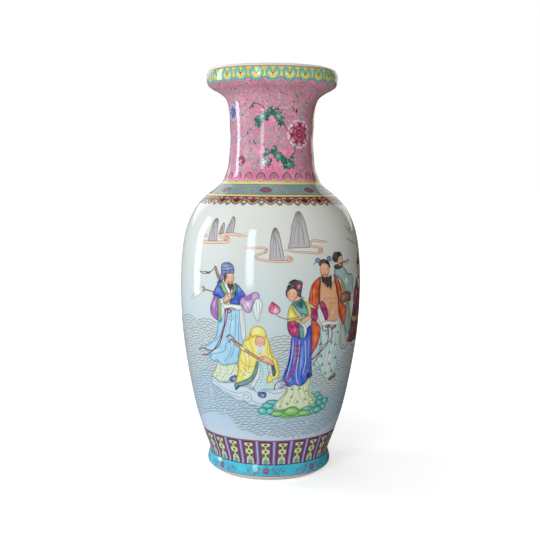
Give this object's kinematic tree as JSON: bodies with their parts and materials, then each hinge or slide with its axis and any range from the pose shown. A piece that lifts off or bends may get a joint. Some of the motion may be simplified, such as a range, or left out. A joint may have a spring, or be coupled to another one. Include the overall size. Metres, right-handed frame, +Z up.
{
  "type": "porcelain vase",
  "caption": "Tall baluster vase with a straight-sided dish mouth, waisted neck, round shoulders, tapering belly and flared foot ring.",
  "frame": {"origin": "middle of the foot ring's resting face, on the floor plane", "axes": "+Z up along the axis of turning; the painted front faces -Y, with +X to its right"},
  "size_m": [0.2768, 0.2768, 0.61],
  "materials": {
    "mouth_glaze": "glossy overglaze enamel, yellow ground under a white lip",
    "neck_glaze": "glossy overglaze enamel, mottled pink ground",
    "upper_glaze": "glossy clear glaze over white porcelain",
    "lower_glaze": "glossy glaze with pale blue enamel",
    "foot_glaze": "glossy overglaze enamel, turquoise band, bare resting rim",
    "luting_slip": "fired slip, matt"
  },
  "bodies": {
    "root": {"mouth_dish": "mouth_glaze", "neck": "neck_glaze", "upper_body": "upper_glaze", "lower_body": "lower_glaze", "foot_ring": "foot_glaze", "floor_disc": "upper_glaze", "slip_mouth": "luting_slip", "slip_neck": "luting_slip", "slip_belly": "luting_slip", "slip_foot": "luting_slip", "slip_floor": "luting_slip"}
  },
  "joints": []
}
